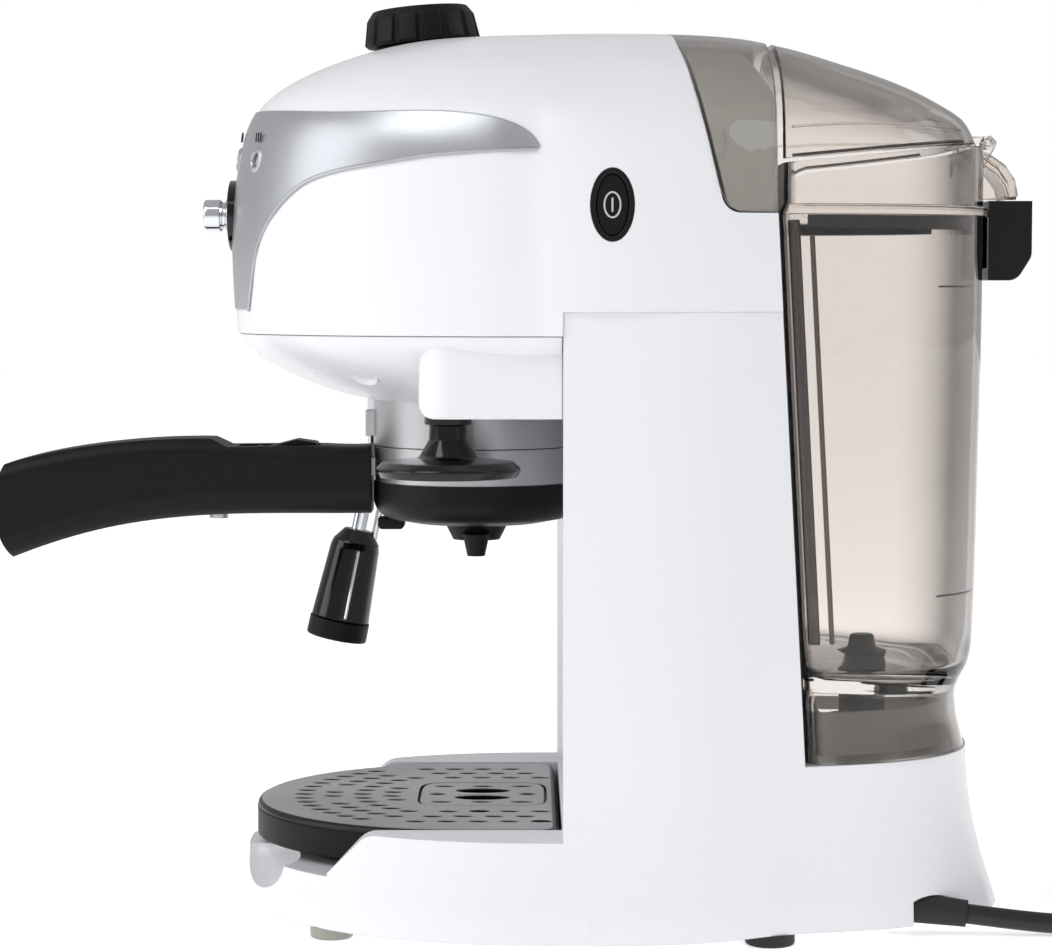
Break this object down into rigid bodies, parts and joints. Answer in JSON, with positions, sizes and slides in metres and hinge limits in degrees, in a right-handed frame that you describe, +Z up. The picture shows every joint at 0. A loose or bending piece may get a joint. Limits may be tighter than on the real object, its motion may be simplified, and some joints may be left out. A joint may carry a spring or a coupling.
{
  "type": "pod coffee machine",
  "caption": "Pump espresso machine for pods or ground coffee, with a twist-in filter holder, fixed tamper, steam wand, drip tray, clear lift-off water tank and accessory cover.",
  "frame": {"origin": "middle of the machine's footprint box, handle to rear lug, on the surface the feet stand on", "axes": "+Z up, the front of the machine faces -Y, +X to the right seen from the front"},
  "size_m": [0.1831, 0.4947, 0.3047],
  "materials": {
    "white_housing": "moulded gloss",
    "silver_panel": "satin metallic paint",
    "black_gloss": "gloss",
    "black_matte": "fine texture",
    "grill_grey": "fine texture with a sheen",
    "light_grey": "satin",
    "smoked_clear": "clear, smoked",
    "chrome_part": "polished",
    "steel_part": "brushed",
    "cast_aluminium": "cast, satin",
    "brass_part": "turned",
    "rubber_black": "matte",
    "rubber_grey": "translucent grey",
    "silicone_hose": "translucent",
    "light_lens": "clear",
    "circuit_board": "coated",
    "screw_steel": "zinc plated",
    "cord_rubber": "matte"
  },
  "bodies": {
    "machine": {"lower_housing": "white_housing", "base_plate": "white_housing", "upper_housing": "white_housing", "head_underside": "white_housing", "front_fascia": "silver_panel", "selector_plate": "black_gloss", "selector_switch": "black_matte", "indicator_lights": "light_lens", "indicator_board": "circuit_board", "steam_collar": "black_matte", "steam_valve": "brass_part", "power_bezel": "black_gloss", "power_switch": "black_matte", "boiler": "cast_aluminium", "thermostats": "steel_part", "group_flange": "cast_aluminium", "group_gasket": "rubber_black", "shower_screen": "steel_part", "shower_screw": "screw_steel", "tamper": "black_gloss", "wand_grommet": "black_matte", "tank_socket": "rubber_black", "accessory_tray": "light_grey", "pump": "steel_part", "pump_mounts": "rubber_black", "suction_hose": "silicone_hose", "pressure_hose": "silicone_hose", "steam_pipe": "steel_part", "feet_front": "rubber_grey", "feet_rear": "rubber_black", "housing_screws": "screw_steel", "cord_gland": "cord_rubber", "power_cord": "cord_rubber", "cord_coil": "cord_rubber", "cord_plug": "cord_rubber"},
    "filter_holder": {"holder_ring": "cast_aluminium", "holder_bowl": "black_matte", "filter_basket": "steel_part", "holder_spout": "black_matte", "handle_upper": "black_matte", "handle_lower": "black_matte", "handle_screw": "screw_steel", "lock_pin": "screw_steel"},
    "basket_lock_flap": {"basket_lock": "black_matte"},
    "selector": {"selector_knob": "chrome_part"},
    "steam_tap": {"steam_knob": "black_matte", "steam_spindle": "steel_part"},
    "power_push": {"power_button": "black_matte"},
    "wand": {"steam_tube": "chrome_part", "air_tube": "chrome_part", "frother_body": "black_gloss", "frother_ring": "black_matte"},
    "tray": {"drip_tray": "black_matte"},
    "grill": {"drip_grill": "grill_grey"},
    "stand": {"cup_stand": "grill_grey"},
    "tank": {"water_tank": "smoked_clear", "tank_handle": "black_gloss"},
    "outlet_valve": {"tank_valve": "black_matte"},
    "lid": {"tank_lid": "smoked_clear"},
    "cover": {"accessory_cover": "smoked_clear"}
  },
  "joints": [
    {"name": "filter_holder_twist", "type": "hinge", "parent": "machine", "child": "filter_holder", "pos_m": [0, -0.012, 0.158], "axis": [0, 0, 1], "range_deg": [-40, 0]},
    {"name": "basket_lock_flip", "type": "hinge", "parent": "filter_holder", "child": "basket_lock_flap", "pos_m": [0, -0.086, 0.1536], "axis": [1, 0, 0], "range_deg": [0, 75]},
    {"name": "selector_turn", "type": "hinge", "parent": "machine", "child": "selector", "pos_m": [0, -0.095, 0.2338], "axis": [0, -1, 0], "range_deg": [-45, 45]},
    {"name": "steam_tap_turn", "type": "hinge", "parent": "machine", "child": "steam_tap", "pos_m": [0, -0.0299, 0.2909], "axis": [0, -0.0872, 0.9962], "range_deg": [-270, 0]},
    {"name": "power_press", "type": "slide", "parent": "machine", "child": "power_push", "axis": [-1, 0, 0], "range_m": [0, 0.002], "stiffness_N_per_m": 300},
    {"name": "wand_swivel", "type": "hinge", "parent": "machine", "child": "wand", "pos_m": [-0.066, -0.05, 0.18], "axis": [0, 0, 1], "range_deg": [-70, 20]},
    {"name": "tray_pull", "type": "slide", "parent": "machine", "child": "tray", "axis": [0, -1, 0], "range_m": [0, 0.1]},
    {"name": "grill_lift", "type": "slide", "parent": "tray", "child": "grill", "axis": [0, 0, 1], "range_m": [0, 0.03]},
    {"name": "stand_lift", "type": "slide", "parent": "grill", "child": "stand", "axis": [0, 0, 1], "range_m": [0, 0.02]},
    {"name": "tank_lift", "type": "slide", "parent": "machine", "child": "tank", "axis": [0, 0, 1], "range_m": [0, 0.12]},
    {"name": "outlet_valve_push", "type": "slide", "parent": "tank", "child": "outlet_valve", "axis": [0, 0, 1], "range_m": [0, 0.003], "stiffness_N_per_m": 150},
    {"name": "lid_open", "type": "hinge", "parent": "tank", "child": "lid", "pos_m": [0, 0.158, 0.2575], "axis": [-1, 0, 0], "range_deg": [0, 95]},
    {"name": "cover_lift", "type": "slide", "parent": "machine", "child": "cover", "axis": [0, 0, 1], "range_m": [0, 0.08]}
  ]
}
